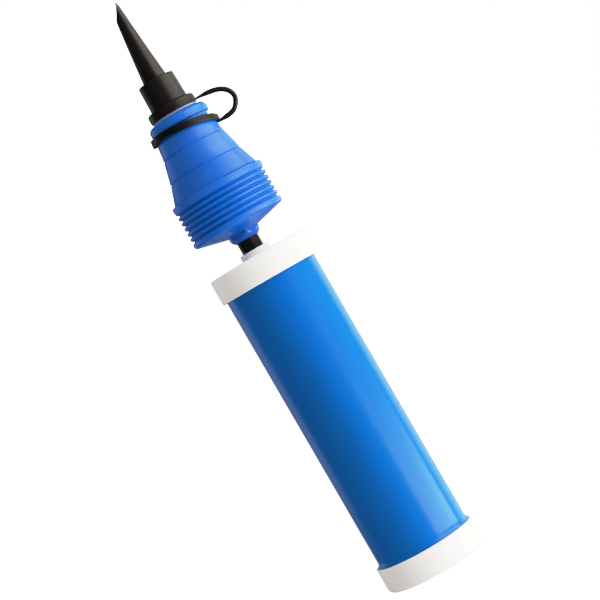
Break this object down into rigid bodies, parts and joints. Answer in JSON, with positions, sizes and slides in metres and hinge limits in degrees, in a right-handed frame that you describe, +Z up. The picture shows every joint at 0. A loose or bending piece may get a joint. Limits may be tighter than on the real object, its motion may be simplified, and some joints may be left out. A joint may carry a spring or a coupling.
{
  "type": "hand air pump",
  "caption": "Double-action hand air pump: a sliding hollow rod in a capped barrel, with a ribbed, stepped cone nozzle and a soft tapered tip on a tether.",
  "frame": {"origin": "centre of the base cap's underside, where the pump stands", "axes": "+Z up along the pump, from the base cap to the nozzle tip; +X to the side that the tether strap loops on"},
  "size_m": [0.0542, 0.05, 0.2998],
  "materials": {
    "barrel_blue": "smooth extruded tube, soft gloss",
    "cap_white": "moulded, satin",
    "guide_white": "moulded, matt",
    "rod_black": "smooth, slightly greased",
    "head_blue": "moulded, satin",
    "spigot_white": "moulded, translucent white",
    "tip_black": "soft moulded, satin",
    "tether_black": "soft moulded, satin",
    "seal_rubber": "greased",
    "flap_rubber": "thin sheet, matt",
    "inner_plastic": "moulded, plain"
  },
  "bodies": {
    "barrel": {"barrel_tube": "barrel_blue", "base_cap": "cap_white", "base_cap_seal": "seal_rubber", "base_valve_cage": "inner_plastic", "rod_end_cap": "cap_white", "rod_end_cap_seal": "seal_rubber", "guide_bush": "guide_white", "rod_seal": "seal_rubber", "rod_seal_washer": "inner_plastic", "top_valve_cage": "inner_plastic"},
    "base_inlet_flap": {"base_inlet_disc": "flap_rubber"},
    "top_inlet_flap": {"top_inlet_ring": "flap_rubber"},
    "piston_ring": {"piston_seal": "seal_rubber"},
    "plunger": {"pump_rod": "rod_black", "piston_body": "inner_plastic", "piston_base": "inner_plastic", "outlet_valve_cage": "inner_plastic", "cone_base": "head_blue", "nozzle_cone": "head_blue", "outlet_spigot": "spigot_white"},
    "lower_outlet_flap": {"lower_outlet_disc": "flap_rubber"},
    "upper_outlet_flap": {"upper_outlet_ring": "flap_rubber"},
    "tether": {"tether_ring": "tether_black", "tether_strap": "tether_black"},
    "tip": {"nozzle_tip": "tip_black"}
  },
  "joints": [
    {"name": "plunger_slide", "type": "slide", "parent": "barrel", "child": "piston_ring", "axis": [0, 0, 1], "range_m": [0, 0.124]},
    {"name": "plunger_turn", "type": "hinge", "parent": "piston_ring", "child": "plunger", "pos_m": [0, 0, 0.0149], "axis": [0, 0, 1], "continuous": true},
    {"name": "base_inlet_lift", "type": "slide", "parent": "barrel", "child": "base_inlet_flap", "axis": [0, 0, 1], "range_m": [0, 0.0011]},
    {"name": "top_inlet_lift", "type": "slide", "parent": "barrel", "child": "top_inlet_flap", "axis": [0, 0, -1], "range_m": [0, 0.0011]},
    {"name": "lower_outlet_lift", "type": "slide", "parent": "plunger", "child": "lower_outlet_flap", "axis": [0, 0, 1], "range_m": [0, 0.0011]},
    {"name": "upper_outlet_lift", "type": "slide", "parent": "plunger", "child": "upper_outlet_flap", "axis": [0, 0, -1], "range_m": [0, 0.0011]},
    {"name": "tether_turn", "type": "hinge", "parent": "plunger", "child": "tether", "pos_m": [0, 0, 0.2332], "axis": [0, 0, 1], "continuous": true},
    {"name": "tip_pull", "type": "slide", "parent": "tether", "child": "tip", "axis": [0, 0, 1], "range_m": [0, 0.016]}
  ]
}
